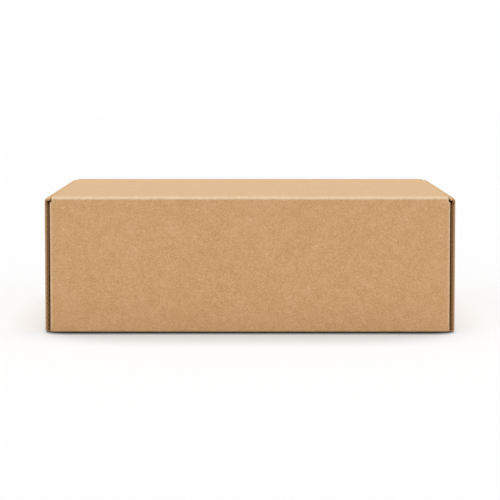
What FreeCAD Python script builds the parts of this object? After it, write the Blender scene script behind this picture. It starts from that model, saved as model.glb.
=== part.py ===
import FreeCAD, Part
import math
import os
import Sketcher

# A closed roll-end mailer, die-cut and folded from one sheet of corrugated board.
# The sheet is two bodies that meet at the lid's fold: the tray and the lid.
# Millimetres, +Z up, origin under the middle of the base.
# The hinge wall faces -Y, the wall with the tucked flap faces +Y.

DRIVING_SIZES = [
    ("box_length", "322", "outside, over the two side walls, along X"),
    ("box_depth", "238", "outside, over hinge wall and tuck wall, along Y"),
    ("box_height", "106.5", "outside, floor to the top of the lid"),
    ("board", "3", "thickness of the corrugated board"),
    ("clearance", "0.3", "between two layers that slide or rest on each other"),
    ("corner_slit", "1", "between a side wall and the ear folded in behind it"),
    ("fold_radius", "1.8", "outside of a creased fold"),
    ("ear_fold_radius", "1", "outside of the upright folds at the ears"),
    ("roll_width", "4.2", "crushed double fold over the top of a side wall"),
    ("roll_thickness", "2.5", "board crushed in that double fold"),
    ("roll_outer_radius", "2.4", "outer shoulder of the double fold"),
    ("roll_inner_radius", "1.6", "shoulder of the double fold beside the lid"),
    ("roll_waist", "9", "height over which the outer wall thins into the roll"),
    ("lean_height", "16.5", "top to where the inner side wall stands upright"),
    ("lean_setback", "14", "inner wall cut back there to clear the ears"),
    ("ear_length", "96", "end wall's outer face to the ear's free edge"),
    ("ear_shoulder", "4", "ear's top kept level beside its fold"),
    ("ear_taper", "16", "drop of the ear's top edge towards its free edge"),
    ("tab_length", "42", "lock tab of the inner side wall"),
    ("tab_spacing", "118", "centre to centre of the two tabs of a side"),
    ("lid_slit", "0.55", "between the lid's edge and the rolled top beside it"),
    ("lid_edge_radius", "1.4", "outside of the folds to the dust flaps"),
    ("tuck_length", "56", "lid's top to the tuck flap's free edge"),
    ("tuck_lean", "8", "tuck flap's free edge, inward from its fold"),
    ("tuck_side_gap", "1.2", "tuck flap to the inner side wall"),
    ("tuck_corner", "15", "rounded free corners of the tuck flap"),
    ("dust_drop", "46", "lid's top to a dust flap's free edge"),
    ("dust_lean", "18.5", "dust flap's free edge, inward from its fold"),
    ("dust_hinge_gap", "8", "hinge wall's inner face to the dust flap"),
    ("dust_tuck_gap", "18", "tuck wall's inner face to the dust flap"),
    ("dust_taper", "14", "slant of the dust flap's ends"),
    ("flute_pitch", "3.9", "one wave of the corrugated medium"),
    ("liner", "0.45", "outer and inner paper of the board"),
    ("medium", "0.4", "waved paper between the liners"),
    ("flute_crest", "0.8", "narrow side of the hollow under a wave"),
    ("crease_margin", "6", "flattened board beside a fold or a raw edge"),
]


class Size:
    """A number read from the sheet, kept with the formula that gives it."""

    def __init__(self, number, formula):
        self.number = number
        self.formula = formula

    def __add__(self, other):
        return join(self, other, "+", lambda a, b: a + b)

    def __sub__(self, other):
        return join(self, other, "-", lambda a, b: a - b)

    def __mul__(self, other):
        return join(self, other, "*", lambda a, b: a * b)

    def __truediv__(self, other):
        return join(self, other, "/", lambda a, b: a / b)

    def __neg__(self):
        return join(0, self, "-", lambda a, b: a - b)


def as_size(value):
    """Give a plain number the same form as a value of the sheet."""
    if isinstance(value, Size):
        return value
    return Size(float(value), repr(float(value)))


def join(first, second, sign, rule):
    """Combine two sizes in number and in formula."""
    first = as_size(first)
    second = as_size(second)
    number = rule(first.number, second.number)
    return Size(number, "(" + first.formula + " " + sign + " " + second.formula + ")")


def make_sheet(doc):
    """Write the driving sizes and return them by name."""
    sheet = doc.addObject("Spreadsheet::Sheet", "sizes")
    for row, (name, number, note) in enumerate(DRIVING_SIZES, start=1):
        sheet.set("A" + str(row), note)
        sheet.set("B" + str(row), number)
        sheet.setAlias("B" + str(row), name)
    doc.recompute()
    return {name: Size(float(sheet.get(name)), "sizes." + name) for name, _, _ in DRIVING_SIZES}


def bind(thing, slot, size):
    """Set one property of an object from the sheet."""
    thing.setExpression(slot, as_size(size).formula)


def new_body(doc, label):
    body = doc.addObject("PartDesign::Body", label)
    body.Label = label
    return body


def origin_plane(body, role):
    return [plane for plane in body.Origin.OriginFeatures if plane.Role == role][0]


def new_sketch(body, name, role, offset=None):
    """Attach an empty sketch to one of the body's planes, lifted off it by offset."""
    sketch = body.newObject("Sketcher::SketchObject", name)
    sketch.AttachmentSupport = [(origin_plane(body, role), "")]
    sketch.MapMode = "FlatFace"
    if offset is not None:
        bind(sketch, ".AttachmentOffset.Base.z", offset)
    return sketch


def hold_point(sketch, element, end, across, up):
    """Fix a point of the sketch at two sizes from the origin."""
    for kind, axis, size in (("DistanceX", -2, across), ("DistanceY", -1, up)):
        size = as_size(size)
        if size.number == 0:
            sketch.addConstraint(Sketcher.Constraint("PointOnObject", element, end, axis))
            continue
        rule = Sketcher.Constraint(kind, -1, 1, element, end, size.number)
        index = sketch.addConstraint(rule)
        bind(sketch, "Constraints[" + str(index) + "]", size)


def fillet_reach(before, corner, after, radius):
    """Length that a round corner takes from each of its two lines."""
    turn = (before - corner).getAngle(after - corner)
    return radius / math.tan(turn / 2)


def draw_outline(sketch, corners):
    """Close an outline through corners given as (across, up) or (across, up, radius).

    Each corner is held at its two sizes. A corner with a radius becomes a tangent arc,
    and a point at its sharp place carries the sizes.
    """
    count = len(corners)
    places = []
    for corner in corners:
        places.append(FreeCAD.Vector(as_size(corner[0]).number, as_size(corner[1]).number, 0))
    reaches = []
    for i, corner in enumerate(corners):
        reach = 0.0
        if len(corner) == 3:
            radius = as_size(corner[2]).number
            reach = fillet_reach(places[i - 1], places[i], places[(i + 1) % count], radius)
        reaches.append(reach)
    lines = []
    for i in range(count):
        ahead = (i + 1) % count
        along = (places[ahead] - places[i]).normalize()
        start = places[i] + along * reaches[i]
        stop = places[ahead] - along * reaches[ahead]
        lines.append(sketch.addGeometry(Part.LineSegment(start, stop), False))
    for i, corner in enumerate(corners):
        arriving = lines[i - 1]
        leaving = lines[i]
        if len(corner) == 2:
            sketch.addConstraint(Sketcher.Constraint("Coincident", arriving, 2, leaving, 1))
            hold_point(sketch, leaving, 1, corner[0], corner[1])
            continue
        radius = as_size(corner[2])
        arc = draw_corner_arc(sketch, arriving, leaving, places[i], radius.number)
        index = sketch.addConstraint(Sketcher.Constraint("Radius", arc, radius.number))
        bind(sketch, "Constraints[" + str(index) + "]", radius)
        point = sketch.addGeometry(Part.Point(places[i]), True)
        sketch.addConstraint(Sketcher.Constraint("PointOnObject", point, 1, arriving))
        sketch.addConstraint(Sketcher.Constraint("PointOnObject", point, 1, leaving))
        hold_point(sketch, point, 1, corner[0], corner[1])


def draw_corner_arc(sketch, arriving, leaving, corner, radius):
    """Round one corner with an arc that runs on smoothly from both lines."""
    start = sketch.getPoint(arriving, 2)
    stop = sketch.getPoint(leaving, 1)
    middle = (start + stop) / 2
    outward = (corner - middle).normalize()
    half_chord = (stop - start).Length / 2
    centre = middle - outward * math.sqrt(radius ** 2 - half_chord ** 2)
    crown = centre + outward * radius
    arc = sketch.addGeometry(Part.Arc(start, crown, stop), False)
    ends = (1, 2)
    if (sketch.getPoint(arc, 1) - start).Length > (sketch.getPoint(arc, 2) - start).Length:
        ends = (2, 1)
    sketch.addConstraint(Sketcher.Constraint("Tangent", arriving, 2, arc, ends[0]))
    sketch.addConstraint(Sketcher.Constraint("Tangent", arc, ends[1], leaving, 1))
    return arc


def pad(body, sketch, length, both_ways=True):
    """Give an outline its length, to both sides of its plane or ahead of it."""
    feature = body.newObject("PartDesign::Pad", sketch.Name + "_pad")
    feature.Profile = sketch
    feature.SideType = "Symmetric" if both_ways else "One side"
    bind(feature, "Length", length)
    sketch.Visibility = False
    return feature


def pocket(body, sketch, length, both_ways=True, upwards=False):
    """Cut an outline out of the body, to both sides of its plane or to one."""
    feature = body.newObject("PartDesign::Pocket", sketch.Name + "_pocket")
    feature.Profile = sketch
    feature.SideType = "Symmetric" if both_ways else "One side"
    feature.Reversed = upwards
    bind(feature, "Length", length)
    sketch.Visibility = False
    return feature


def mirror_across(body, feature, role):
    """Repeat a feature on the other side of one of the body's planes."""
    twin = body.newObject("PartDesign::Mirrored", feature.Name + "_twin")
    twin.Originals = [feature]
    twin.MirrorPlane = (origin_plane(body, role), [""])
    body.Tip = twin
    return twin


def repeat_along(body, feature, sketch, axis, spacing, count):
    """Repeat a feature in a row along an axis of its sketch."""
    row = body.newObject("PartDesign::LinearPattern", feature.Name + "_row")
    row.Originals = [feature]
    row.Direction = (sketch, [axis])
    row.Occurrences = count
    bind(row, "Length", spacing * (count - 1))
    body.Tip = row
    return row


def round_edges(body, base, name, radius, wanted):
    """Round the edges of a feature whose middles lie where wanted says."""
    names = []
    for number, edge in enumerate(base.Shape.Edges, start=1):
        if wanted(edge.CenterOfMass):
            names.append("Edge" + str(number))
    fillet = body.newObject("PartDesign::Fillet", name)
    fillet.Base = (base, names)
    bind(fillet, "Radius", radius)
    body.Tip = fillet
    return fillet


def near(first, second):
    return abs(first - second) < 0.001


def sizes_worked_out(s):
    """Places that several panels share, all from the driving sizes."""
    s["half_length"] = s["box_length"] / 2
    s["half_depth"] = s["box_depth"] / 2
    s["side_inside"] = s["half_length"] - s["board"]
    s["end_inside"] = s["half_depth"] - s["board"]
    s["end_half_length"] = s["side_inside"] - s["corner_slit"]
    s["lid_underside"] = s["box_height"] - s["board"]
    s["wall_top"] = s["lid_underside"] - s["clearance"]
    s["roll_inside"] = s["half_length"] - s["roll_width"]
    s["roll_underside"] = s["box_height"] - s["roll_thickness"]
    s["roll_crease"] = s["half_length"] - s["roll_width"] / 2
    s["ear_inside"] = s["end_half_length"] - s["board"]
    s["inner_wall_outside"] = s["ear_inside"] - s["clearance"]
    s["inner_wall_inside"] = s["inner_wall_outside"] - s["board"]
    s["inner_wall_foot"] = s["board"] + s["clearance"]
    s["inner_wall_knee"] = s["box_height"] - s["lean_height"]
    s["inner_half_depth"] = s["end_inside"] - s["clearance"]
    s["lid_half_length"] = s["roll_inside"] - s["lid_slit"]
    s["tuck_face"] = s["end_inside"] - s["clearance"]
    s["tuck_half_length"] = s["inner_wall_inside"] - s["tuck_side_gap"]
    return s


def draw_rectangle(sketch, left, right, low, high):
    draw_outline(sketch, [(left, low), (right, low), (right, high), (left, high)])


def base_and_end_walls(body, s):
    """Base, hinge wall and tuck wall: one strip of board folded up at both ends."""
    sketch = new_sketch(body, "end_wall_section", "YZ_Plane")
    draw_outline(sketch, [
        (-s["half_depth"], 0, s["fold_radius"]),
        (s["half_depth"], 0, s["fold_radius"]),
        (s["half_depth"], s["wall_top"]),
        (s["end_inside"], s["wall_top"]),
        (s["end_inside"], s["board"]),
        (-s["end_inside"], s["board"]),
        (-s["end_inside"], s["wall_top"]),
        (-s["half_depth"], s["wall_top"]),
    ])
    return pad(body, sketch, s["end_half_length"] * 2)


def lock_slots(body, s):
    """Slots through the base that take the lock tabs of the inner side walls."""
    sketch = new_sketch(body, "lock_slots", "XY_Plane")
    reach = s["tab_length"] / 2 + s["clearance"]
    left = s["inner_wall_inside"] - s["clearance"]
    right = s["inner_wall_outside"] + s["clearance"]
    for side in (-1, 1):
        for end in (-1, 1):
            middle = s["tab_spacing"] / 2 * end
            inner = left * side if side > 0 else right * side
            outer = right * side if side > 0 else left * side
            draw_rectangle(sketch, inner, outer, middle - reach, middle + reach)
    return pocket(body, sketch, s["board"] * 4)


def ears(body, s):
    """Ears folded back from both end walls, hidden between the side wall's layers."""
    sketch = new_sketch(body, "ear_outline", "YZ_Plane", s["ear_inside"])
    foot = s["board"] + s["clearance"] * 2
    shoulder = s["inner_wall_knee"] - s["clearance"]
    notch = s["end_inside"] - s["lean_setback"] + s["clearance"] * 2
    free_edge = s["half_depth"] - s["ear_length"]
    middle = s["half_depth"] - s["board"] / 2
    for end in (-1, 1):
        draw_outline(sketch, [
            (middle * end, foot),
            (middle * end, s["wall_top"]),
            (s["end_inside"] * end - s["ear_shoulder"] * end, s["wall_top"]),
            (notch * end, shoulder),
            (free_edge * end, shoulder - s["ear_taper"], s["board"] * 3),
            (free_edge * end, foot + s["ear_taper"], s["board"] * 3),
            (notch * end, foot),
        ])
    first = pad(body, sketch, s["board"], both_ways=False)
    return mirror_across(body, first, "YZ_Plane")


def round_ear_folds(body, base, s):
    """Upright folds where the end walls turn into their ears."""
    at_side = s["end_half_length"].number
    at_end = s["half_depth"].number

    def upright_fold(point):
        return near(abs(point.x), at_side) and near(abs(point.y), at_end) and point.z > 0

    return round_edges(body, base, "ear_folds", s["ear_fold_radius"], upright_fold)


def side_wall_outer(body, s):
    """Outer layer of a side wall with the crushed double fold along its top."""
    sketch = new_sketch(body, "side_wall_section", "XZ_Plane")
    seam = s["end_half_length"] + s["clearance"]
    draw_outline(sketch, [
        (seam, 0),
        (s["half_length"], 0, s["fold_radius"]),
        (s["half_length"], s["box_height"], s["roll_outer_radius"]),
        (s["roll_inside"], s["box_height"], s["roll_inner_radius"]),
        (s["roll_inside"], s["roll_underside"]),
        (s["roll_crease"], s["roll_underside"]),
        (s["side_inside"], s["box_height"] - s["roll_waist"]),
        (s["side_inside"], s["board"]),
        (seam, s["board"]),
    ])
    first = pad(body, sketch, s["half_depth"] * 2)
    return mirror_across(body, first, "YZ_Plane")


def base_strip(body, s):
    """Board of the base between the end walls' corners and the side wall's fold."""
    sketch = new_sketch(body, "base_strip", "XZ_Plane")
    inner = s["end_half_length"] - s["corner_slit"]
    draw_rectangle(sketch, inner, s["side_inside"], 0, s["board"])
    first = pad(body, sketch, s["end_inside"] * 2)
    return mirror_across(body, first, "YZ_Plane")


def side_wall_lean(body, s):
    """Top of the inner layer, leaning in from the roll to make room for the ears."""
    sketch = new_sketch(body, "inner_wall_lean", "XZ_Plane")
    overlap = s["roll_thickness"] / 4
    draw_outline(sketch, [
        (s["inner_wall_inside"], s["inner_wall_knee"] - overlap),
        (s["inner_wall_outside"], s["inner_wall_knee"] - overlap),
        (s["inner_wall_outside"], s["inner_wall_knee"]),
        (s["roll_crease"] - s["clearance"], s["roll_underside"]),
        (s["roll_crease"] - s["clearance"], s["roll_underside"] + overlap),
        (s["roll_inside"], s["roll_underside"] + overlap),
        (s["roll_inside"], s["roll_underside"]),
        (s["inner_wall_inside"], s["inner_wall_knee"]),
    ])
    first = pad(body, sketch, (s["end_inside"] - s["lean_setback"]) * 2)
    return mirror_across(body, first, "YZ_Plane")


def side_wall_inner(body, s):
    """Upright inner layer of a side wall, standing just above the base."""
    sketch = new_sketch(body, "inner_wall_section", "XZ_Plane")
    draw_rectangle(sketch, s["inner_wall_inside"], s["inner_wall_outside"],
                   s["inner_wall_foot"], s["inner_wall_knee"])
    first = pad(body, sketch, s["inner_half_depth"] * 2)
    return mirror_across(body, first, "YZ_Plane")


def lock_tabs(body, s):
    """Tabs on the foot of the inner side walls, down into the slots of the base."""
    sketch = new_sketch(body, "lock_tab_outline", "YZ_Plane", s["inner_wall_inside"])
    for end in (-1, 1):
        middle = s["tab_spacing"] / 2 * end
        half = s["tab_length"] / 2
        draw_rectangle(sketch, middle - half, middle + half,
                       s["clearance"], s["inner_wall_foot"] + s["board"])
    first = pad(body, sketch, s["board"], both_ways=False)
    return mirror_across(body, first, "YZ_Plane")


def flute_pair(s, face, side, start):
    """Outlines of the two hollows of one wave: each widens towards the other liner.

    Their corners are (depth, along). The board's outer face is at face, its thickness runs
    inwards from there, and along is where the wave lies in its row.
    """
    near_liner = face - s["liner"] * side
    far_liner = face - (s["board"] - s["liner"]) * side
    wide = s["flute_pitch"] - s["flute_crest"] - s["medium"] * 2
    half_wide = wide / 2
    half_crest = s["flute_crest"] / 2
    half_pitch = s["flute_pitch"] / 2
    first = [
        (near_liner, start - half_wide),
        (near_liner, start + half_wide),
        (far_liner, start + half_crest),
        (far_liner, start - half_crest),
    ]
    second = [
        (near_liner, start + half_pitch - half_crest),
        (near_liner, start + half_pitch + half_crest),
        (far_liner, start + half_pitch + half_wide),
        (far_liner, start + half_pitch - half_wide),
    ]
    return first, second


def side_wall_flutes(body, s):
    """Flutes of the outer side walls, open at their raw upright edges."""
    sketch = new_sketch(body, "side_wall_flute", "XZ_Plane")
    for side in (-1, 1):
        for outline in flute_pair(s, s["half_length"] * side, side, s["crease_margin"]):
            draw_outline(sketch, outline)
    cut = pocket(body, sketch, s["box_depth"] * 2)
    room = s["box_height"] - s["roll_waist"] - s["crease_margin"]
    count = int((room / s["flute_pitch"]).number)
    return repeat_along(body, cut, sketch, "V_Axis", s["flute_pitch"], count)


def tuck_wall_flutes(body, s):
    """Flutes of the tuck wall, open at the raw top edge that the lid's flap slides past."""
    sketch = new_sketch(body, "tuck_wall_flute", "XY_Plane", s["wall_top"])
    start = -s["end_half_length"] + s["crease_margin"]
    for outline in flute_pair(s, s["half_depth"], 1, start):
        draw_outline(sketch, [(along, depth) for depth, along in outline])
    depth = s["wall_top"] - s["board"] - s["crease_margin"]
    cut = pocket(body, sketch, depth, both_ways=False)
    room = (s["end_half_length"] - s["crease_margin"]) * 2
    count = int((room / s["flute_pitch"]).number)
    return repeat_along(body, cut, sketch, "H_Axis", s["flute_pitch"], count)


def tray(doc, s):
    """Base with its four walls, ears and locked inner side walls."""
    body = new_body(doc, "tray")
    base_and_end_walls(body, s)
    lock_slots(body, s)
    folded_ears = ears(body, s)
    doc.recompute()
    round_ear_folds(body, folded_ears, s)
    side_wall_outer(body, s)
    base_strip(body, s)
    side_wall_lean(body, s)
    side_wall_inner(body, s)
    lock_tabs(body, s)
    side_wall_flutes(body, s)
    tuck_wall_flutes(body, s)
    return body


def lid_panel(body, s):
    """Lid's top with the fold that it turns on, down to the hinge wall."""
    sketch = new_sketch(body, "lid_section", "YZ_Plane")
    draw_outline(sketch, [
        (-s["half_depth"], s["lid_underside"]),
        (-s["half_depth"], s["box_height"], s["fold_radius"]),
        (s["tuck_face"] - s["fold_radius"], s["box_height"]),
        (s["tuck_face"] - s["fold_radius"], s["lid_underside"]),
    ])
    return pad(body, sketch, s["lid_half_length"] * 2)


def round_lid_edges(body, base, s):
    """Long side edges of the lid, folded to the dust flaps."""
    at_side = s["lid_half_length"].number
    at_top = s["box_height"].number

    def side_edge(point):
        return near(abs(point.x), at_side) and near(point.z, at_top)

    return round_edges(body, base, "lid_side_folds", s["lid_edge_radius"], side_edge)


def tuck_flap(body, s):
    """Flap on the lid's free edge, tucked in behind the tuck wall and leaning in."""
    sketch = new_sketch(body, "tuck_flap_section", "YZ_Plane")
    tip = s["box_height"] - s["tuck_length"]
    tip_face = s["tuck_face"] - s["tuck_lean"]
    crease = s["tuck_face"] - s["board"] - s["tuck_lean"] * s["board"] / s["tuck_length"]
    draw_outline(sketch, [
        (s["tuck_face"] - s["board"] * 3, s["lid_underside"]),
        (crease, s["lid_underside"]),
        (tip_face - s["board"], tip),
        (tip_face, tip),
        (s["tuck_face"], s["box_height"], s["fold_radius"]),
        (s["tuck_face"] - s["board"] * 3, s["box_height"]),
    ])
    return pad(body, sketch, s["tuck_half_length"] * 2)


def round_tuck_corners(body, base, s):
    """Rounded free corners that guide the tuck flap in."""
    at_side = s["tuck_half_length"].number
    at_tip = (s["box_height"] - s["tuck_length"]).number

    def free_corner(point):
        return near(abs(point.x), at_side) and near(point.z, at_tip)

    return round_edges(body, base, "tuck_corners", s["tuck_corner"], free_corner)


def dust_flaps(body, s):
    """Side flaps of the lid, leaning in past the rolled tops of the side walls."""
    sketch = new_sketch(body, "dust_flap_section", "XZ_Plane")
    tip = s["box_height"] - s["dust_drop"]
    tip_face = s["lid_half_length"] - s["dust_lean"]
    shift = s["dust_lean"] * s["board"] / s["dust_drop"]
    seam = s["lid_half_length"] - shift
    draw_outline(sketch, [
        (seam - s["board"], s["lid_underside"]),
        (tip_face - s["board"], tip),
        (tip_face, tip),
        (seam, s["lid_underside"]),
        (seam, s["lid_underside"] + s["board"] / 2),
        (seam - s["board"], s["lid_underside"] + s["board"] / 2),
    ])
    first = pad(body, sketch, (s["end_inside"] - s["dust_hinge_gap"]) * 2)
    return mirror_across(body, first, "YZ_Plane")


def trim_dust_flaps(body, s):
    """Slanted ends of the dust flaps, clear of the hinge wall and the tuck flap."""
    sketch = new_sketch(body, "dust_flap_ends", "YZ_Plane")
    top = s["lid_underside"]
    tip = s["box_height"] - s["dust_drop"] - s["board"]
    hinge_end = s["end_inside"] - s["dust_hinge_gap"]
    tuck_end = s["end_inside"] - s["dust_tuck_gap"]
    draw_outline(sketch, [
        (-hinge_end - s["board"], top),
        (-hinge_end - s["board"], tip),
        (-hinge_end + s["dust_taper"], tip),
        (-hinge_end, top),
    ])
    draw_outline(sketch, [
        (tuck_end, top),
        (tuck_end - s["dust_taper"], tip),
        (hinge_end + s["clearance"], tip),
        (hinge_end + s["clearance"], top),
    ])
    return pocket(body, sketch, s["box_length"])


def lid(doc, s):
    """Lid with its tuck flap and two dust flaps."""
    body = new_body(doc, "lid")
    panel = lid_panel(body, s)
    doc.recompute()
    round_lid_edges(body, panel, s)
    dust_flaps(body, s)
    trim_dust_flaps(body, s)
    flap = tuck_flap(body, s)
    doc.recompute()
    round_tuck_corners(body, flap, s)
    return body


def check_document(doc, bodies):
    """Stop if any object failed or any sub-part isn't one sound solid."""
    for thing in doc.Objects:
        if "Invalid" in thing.State or "Error" in thing.State:
            raise RuntimeError(thing.Name + " failed: " + str(thing.State))
    for body in bodies:
        shape = body.Shape
        if shape.isNull() or not shape.isValid():
            raise RuntimeError(body.Label + " is not a sound shape")
        if len(shape.Solids) != 1:
            raise RuntimeError(body.Label + " is not one solid")


def main():
    doc = FreeCAD.newDocument("mailer_box")
    s = sizes_worked_out(make_sheet(doc))
    bodies = [tray(doc, s), lid(doc, s)]
    doc.recompute()
    check_document(doc, bodies)
    os.makedirs("parts", exist_ok=True)
    for body in bodies:
        body.Shape.exportStep("parts/" + body.Label + ".step")


main()
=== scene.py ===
import math
from collections import namedtuple

import bpy
import numpy as np
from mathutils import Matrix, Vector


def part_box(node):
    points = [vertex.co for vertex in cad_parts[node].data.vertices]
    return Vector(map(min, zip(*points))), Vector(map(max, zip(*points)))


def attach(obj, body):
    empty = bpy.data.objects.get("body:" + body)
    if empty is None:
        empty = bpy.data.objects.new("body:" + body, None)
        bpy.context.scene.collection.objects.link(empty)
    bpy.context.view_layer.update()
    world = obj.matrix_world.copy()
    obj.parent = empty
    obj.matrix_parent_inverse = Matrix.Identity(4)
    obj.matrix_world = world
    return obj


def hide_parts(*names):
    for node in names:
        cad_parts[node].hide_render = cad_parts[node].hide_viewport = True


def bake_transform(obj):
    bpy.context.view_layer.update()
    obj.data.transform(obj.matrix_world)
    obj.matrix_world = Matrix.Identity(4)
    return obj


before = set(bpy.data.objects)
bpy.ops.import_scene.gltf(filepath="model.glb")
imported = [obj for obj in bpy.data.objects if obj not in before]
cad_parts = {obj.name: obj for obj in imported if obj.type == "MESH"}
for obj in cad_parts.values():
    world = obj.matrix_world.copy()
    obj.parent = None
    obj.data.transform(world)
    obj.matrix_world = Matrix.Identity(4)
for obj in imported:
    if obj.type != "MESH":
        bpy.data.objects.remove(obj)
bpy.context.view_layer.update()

# The box is one folded sheet of corrugated board. Each stretch of it is drawn here as the
# board really is: two paper liners with a waved paper medium between them.
# Lengths are millimetres, and become metres when a mesh is made.

MM = 0.001

# Board
BOARD = 3.0
LINER = 0.4
MEDIUM = 0.26
FLUTE_PITCH = 3.9
CLEARANCE = 0.3
CORNER_SLIT = 1.0

# Folds
FOLD_RADIUS = 1.8
EAR_FOLD_RADIUS = 0.6
LID_EDGE_RADIUS = 1.4

# Rolled tops and inner layers of the side walls
ROLL_OUTER_RADIUS = 2.4
ROLL_INNER_RADIUS = 1.6
ROLL_WIDTH = 4.2
ROLL_THICKNESS = 2.5
ROLL_WAIST = 9.0
LEAN_HEIGHT = 16.5
LEAN_SETBACK = 14.0

# How far the roll lies below the lid: all along, more at its back and more at its front
ROLL_SINK = 0.8
ROLL_DROOP = 0.3
ROLL_DROOP_START = 40.0
ROLL_CORNER = 0.9
ROLL_CORNER_REACH = 9.0

# Ears and lock tabs
EAR_LENGTH = 96.0
EAR_SHOULDER = 4.0
EAR_TAPER = 15.0
EAR_CORNER = 6.0
EAR_CORNER_DROP = 4.0
EAR_HOLLOW_START = 2.0
TAB_LENGTH = 42.0
TAB_SPACING = 118.0

# Lid, tuck flap and dust flaps
LID_NECK = 0.6
LID_NECK_REACH = 30.0
LID_FLARE = 0.4
TUCK_LENGTH = 56.0
TUCK_LEAN = 8.0
TUCK_SIDE_GAP = 1.2
TUCK_CORNER = 15.0
DUST_DROP = 46.0
DUST_LEAN = 18.5
DUST_HINGE_GAP = 8.0
DUST_TUCK_GAP = 18.0
DUST_TAPER = 14.0

# Strip of board round the lid's fold
STRIP_FOOT = 3.0
STRIP_REACH = 7.0

# Small faults of real board: a slow bow, dents on worn folds, and cut edges crushed by the die
BOW = 0.30
BOW_LENGTHS = (260.0, 90.0)
BOW_SIDE_REACH = 45.0
BOW_FOLD_REACH = 35.0
BOW_EASE = 1.5
DENT = 0.10
DENT_LENGTHS = (22.0, 5.0)
DENT_SEED_STEP = 50
NOISE_WAVES = 14
RAW_EDGE_CRUSH = 1.28
RAW_EDGE_REACH = 2.4
# How far the pale wear of creased paper, with the highlight painted along folds, reaches from a
# crease and from a folded side
WEAR_AND_HIGHLIGHT_SPREAD = 1.6
SIDE_WEAR_AND_HIGHLIGHT_SPREAD = 2.8
SMALLEST_SWING = 0.86

# The dark gap beside each end wall: the end wall and the ears end a little short, and the
# side wall's board has swollen into it. Under the box, the side wall's board begins SEAM_GAP
# outside END_HALF.
FACE_INSET = 0.13
SIDE_SWELL = 0.2
SEAM_GAP = 0.1

# Grid of the meshes. EDGE_STATIONS are mm from a panel's side. HOLLOW_STATIONS are shares of
# HOLLOW_DEPTH, which is how far the waved medium goes in behind a cut edge. At folded sides
# the medium stops short by HOLLOW_SIDE_SHARE of the panel's width.
EDGE_STATIONS = (0, 0.25, 0.6, 1.1, 1.7, 2.5, 4.0)
HOLLOW_STATIONS = (0, 0.01, 0.03, 0.06, 0.1, 0.16, 0.4, 1.0)
HOLLOW_DEPTH = 16.0
HOLLOW_SIDE_SHARE = 0.004
STEPS_PER_FLUTE = 12
SHARP_DEGREES = 38

# Two heights, or two stations of a section, no farther apart than this are taken as one
SAME_HEIGHT = 0.01
SAME_STATION = 1e-6

# Places worked out from the frame and the sizes above
_, tray_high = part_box("tray")
_, lid_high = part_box("lid")
HALF_LENGTH = tray_high.x / MM
HALF_DEPTH = tray_high.y / MM
TOP = tray_high.z / MM
LID_HALF = lid_high.x / MM
END_INSIDE = HALF_DEPTH - BOARD
SIDE_INSIDE = HALF_LENGTH - BOARD
END_HALF = SIDE_INSIDE - CORNER_SLIT
FACE_HALF = END_HALF - FACE_INSET
LID_UNDERSIDE = TOP - BOARD
WALL_TOP = LID_UNDERSIDE - CLEARANCE
ROLL_INSIDE = HALF_LENGTH - ROLL_WIDTH
ROLL_UNDERSIDE = TOP - ROLL_THICKNESS
ROLL_CREASE = HALF_LENGTH - ROLL_WIDTH / 2
EAR_INSIDE = END_HALF - BOARD
INNER_OUT = EAR_INSIDE - CLEARANCE
INNER_IN = INNER_OUT - BOARD
KNEE = TOP - LEAN_HEIGHT
TUCK_FACE = END_INSIDE - CLEARANCE
STRIP_START = WALL_TOP - STRIP_FOOT
STRIP_END = -HALF_DEPTH + STRIP_REACH

# Camera, matched to the photo: its side, its focal length and two of its rows in pixels.
# The eye line's row is where the lid's two slanted edges would meet.
PHOTO_SIDE_PX = 500
FOCAL_PX = 1855.0
EYE_LINE_ROW_PX = 66.4
SHIFT_Y = -0.12
AXIS_ROW_PX = PHOTO_SIDE_PX * (0.5 + SHIFT_Y)
CAMERA_TILT = math.atan((AXIS_ROW_PX - EYE_LINE_ROW_PX) / FOCAL_PX)
CAMERA_BEFORE_BOX = 1448.0
CAMERA_ABOVE_BOX = 101.9
SENSOR_WIDTH = 36.0
NEAREST_SEEN = 50.0
FARTHEST_SEEN = 30000.0

# Studio
FLOOR_HALF = 6000.0
CONTACT_REACH = 22.0
SOFT_SHADOW_REACH = 110.0
FLOOR_LIFT = 0.41
SKY = 0.45


def smooth_noise(points, longest, shortest, seed):
    """Sum of plane waves of random heading and phase, about -1 to 1, at points in mm."""
    rng = np.random.default_rng(seed)
    heading = rng.normal(size=(NOISE_WAVES, 3))
    heading /= np.linalg.norm(heading, axis=1, keepdims=True)
    length = np.exp(rng.uniform(np.log(shortest), np.log(longest), NOISE_WAVES))
    phase = rng.uniform(0, 2 * np.pi, NOISE_WAVES)
    angle = points @ (heading / length[:, None]).T * 2 * np.pi + phase
    return np.sin(angle).sum(axis=-1) / math.sqrt(NOISE_WAVES)


# Sections of folded board. Each is three arrays over its stations: a point on the outer face,
# the point on the inner face below it, and how strongly the board is creased there, which also
# sets how pale its paper is worn and how much highlight is painted along the fold.

def run(outer_start, outer_stop, inner_start, inner_stop, step=3.0):
    """A straight stretch of board: both faces are lines, walked in even steps."""
    length = math.dist(outer_start, outer_stop) + math.dist(inner_start, inner_stop)
    count = max(2, int(math.ceil(length / 2 / step)) + 1)
    share = np.linspace(0, 1, count)[:, None]
    outer = np.array(outer_start) * (1 - share) + np.array(outer_stop) * share
    inner = np.array(inner_start) * (1 - share) + np.array(inner_stop) * share
    return outer, inner, np.zeros(count)


def bend(centre, radius, first, last, inner_point, count=9, wear=0.3):
    """A creased fold: the outer face follows an arc and the inner face stays at one point."""
    angle = np.radians(np.linspace(first, last, count))
    outer = np.array(centre) + radius * np.stack([np.cos(angle), np.sin(angle)], axis=1)
    inner = np.repeat(np.array([inner_point], float), count, axis=0)
    # The crease amount sets the fold's pale wear and the highlight painted along it
    return outer, inner, np.full(count, wear)


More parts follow.
